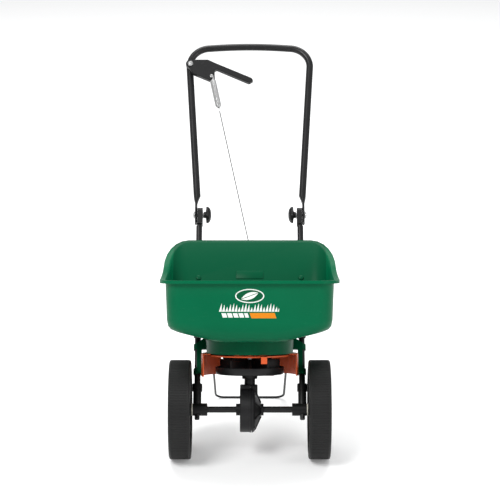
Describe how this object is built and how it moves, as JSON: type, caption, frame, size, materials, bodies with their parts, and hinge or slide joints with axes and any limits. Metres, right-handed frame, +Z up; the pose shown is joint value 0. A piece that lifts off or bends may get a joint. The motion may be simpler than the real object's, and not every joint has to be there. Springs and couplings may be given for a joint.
{
  "type": "broadcast spreader",
  "caption": "Walk-behind garden broadcast spreader with open hopper, spinning disc, two wheels, folding handle, control lever and wire kickstand.",
  "frame": {"origin": "on the ground, in the middle of the bounding box's bottom, parked on the kickstand", "axes": "+Z up, +Y from the front of the hopper towards the person who pushes, +X to the right as seen from the front"},
  "size_m": [0.357, 0.6518, 0.7559],
  "materials": {
    "green": "moulded satin green",
    "orange": "moulded orange",
    "black_plastic": "moulded black",
    "nylon": "natural nylon",
    "wheel_plastic": "black moulded wheel with fine ribs",
    "black_steel": "satin black powder coat",
    "zinc": "zinc plated"
  },
  "bodies": {
    "chassis": {"hopper": "green", "hopper_rivet_left": "green", "hopper_rivet_right": "green", "outlet_base": "green", "side_shield": "orange", "rear_deflector": "black_plastic", "axle_bracket_left": "black_plastic", "axle_bracket_right": "black_plastic", "axle_bush_left": "nylon", "axle_bush_right": "nylon", "frame_tube_left": "black_steel", "frame_tube_right": "black_steel", "tube_sleeve_left": "black_plastic", "tube_sleeve_right": "black_plastic", "fold_saddle_left": "black_plastic", "fold_saddle_right": "black_plastic", "fold_bolt_left": "zinc", "fold_bolt_right": "zinc", "kickstand": "black_steel", "gear_cover_left": "black_plastic", "gear_cover_right": "black_plastic", "shaft_bush": "black_plastic", "crank_pin": "zinc", "dial_screw": "zinc"},
    "handle": {"upper_handle": "black_steel", "lever_spacer": "black_plastic", "lever_pivot_bolt": "zinc"},
    "lever_body": {"lever": "black_plastic", "clevis_bolt": "zinc"},
    "spring_body": {"buffer_spring": "zinc"},
    "wire_body": {"control_wire": "black_steel"},
    "crank_body": {"gate_crank": "orange"},
    "shutter_body": {"shutoff_plate": "orange"},
    "drive": {"axle": "black_steel", "drive_gear": "nylon", "wheel_left": "wheel_plastic", "drive_pin": "zinc", "hub_cap_left": "black_plastic", "hub_cap_right": "black_plastic"},
    "free_wheel": {"wheel_right": "wheel_plastic"},
    "impeller": {"impeller_shaft": "zinc", "pinion": "nylon", "impeller_dish": "black_plastic", "agitator": "black_plastic"},
    "knob_left": {"fold_knob_left": "black_plastic"},
    "knob_right": {"fold_knob_right": "black_plastic"},
    "dial": {"rate_dial": "black_plastic"},
    "guard": {"edge_guard": "orange"}
  },
  "joints": [
    {"name": "handle_fold", "type": "hinge", "parent": "chassis", "child": "handle", "pos_m": [0, 0.05568, 0.43534], "axis": [1, 0, 0], "range_deg": [0, 115]},
    {"name": "lever_squeeze", "type": "hinge", "parent": "handle", "child": "lever_body", "pos_m": [-0.1298, 0.28483, 0.70843], "axis": [0, -0.766, 0.6428], "range_deg": [0, 24], "stiffness_Nm_per_rad": 0.5, "springref_deg": -5.73},
    {"name": "spring_swing", "type": "hinge", "parent": "lever_body", "child": "spring_body", "pos_m": [-0.0832, 0.26435, 0.68403], "axis": [0, -0.766, 0.6428], "range_deg": [-33, 0]},
    {"name": "wire_pull", "type": "slide", "parent": "chassis", "child": "wire_body", "axis": [-0.2094, 0.499, 0.8409], "range_m": [0, 0.0206]},
    {"name": "crank_turn", "type": "hinge", "parent": "chassis", "child": "crank_body", "pos_m": [0.048, -0.08183, 0.19328], "axis": [1, 0, 0], "range_deg": [0, 48.1]},
    {"name": "shutter_turn", "type": "hinge", "parent": "chassis", "child": "shutter_body", "pos_m": [0, -0.19445, 0.20685], "axis": [0, 0.2756, 0.9613], "range_deg": [-17.6, 0]},
    {"name": "axle_spin", "type": "hinge", "parent": "chassis", "child": "drive", "pos_m": [0, -0.22477, 0.10111], "axis": [1, 0, 0], "continuous": true},
    {"name": "free_wheel_spin", "type": "hinge", "parent": "chassis", "child": "free_wheel", "pos_m": [0.1411, -0.22477, 0.10111], "axis": [1, 0, 0], "continuous": true},
    {"name": "impeller_spin", "type": "hinge", "parent": "chassis", "child": "impeller", "pos_m": [0, -0.20272, 0.17801], "axis": [0, 0.2756, 0.9613], "continuous": true},
    {"name": "knob_left_turn", "type": "hinge", "parent": "chassis", "child": "knob_left", "pos_m": [-0.09, 0.05568, 0.43534], "axis": [1, 0, 0], "continuous": true},
    {"name": "knob_right_turn", "type": "hinge", "parent": "chassis", "child": "knob_right", "pos_m": [0.09, 0.05568, 0.43534], "axis": [1, 0, 0], "continuous": true},
    {"name": "dial_turn", "type": "hinge", "parent": "chassis", "child": "dial", "pos_m": [-0.022, -0.09323, 0.19343], "axis": [0, 0.9613, -0.2756], "range_deg": [0, 270]},
    {"name": "guard_turn", "type": "hinge", "parent": "chassis", "child": "guard", "pos_m": [0, -0.19997, 0.18762], "axis": [0, 0.2756, 0.9613], "range_deg": [0, 45]}
  ],
  "couplings": [
    {"joint": "spring_swing", "follows": "lever_squeeze", "ratio": -1.354},
    {"joint": "wire_pull", "follows": "lever_squeeze", "m_per_rad": 0.04894},
    {"joint": "crank_turn", "follows": "lever_squeeze", "ratio": 2},
    {"joint": "shutter_turn", "follows": "lever_squeeze", "ratio": -0.72917},
    {"joint": "impeller_spin", "follows": "axle_spin", "ratio": 3.8}
  ]
}
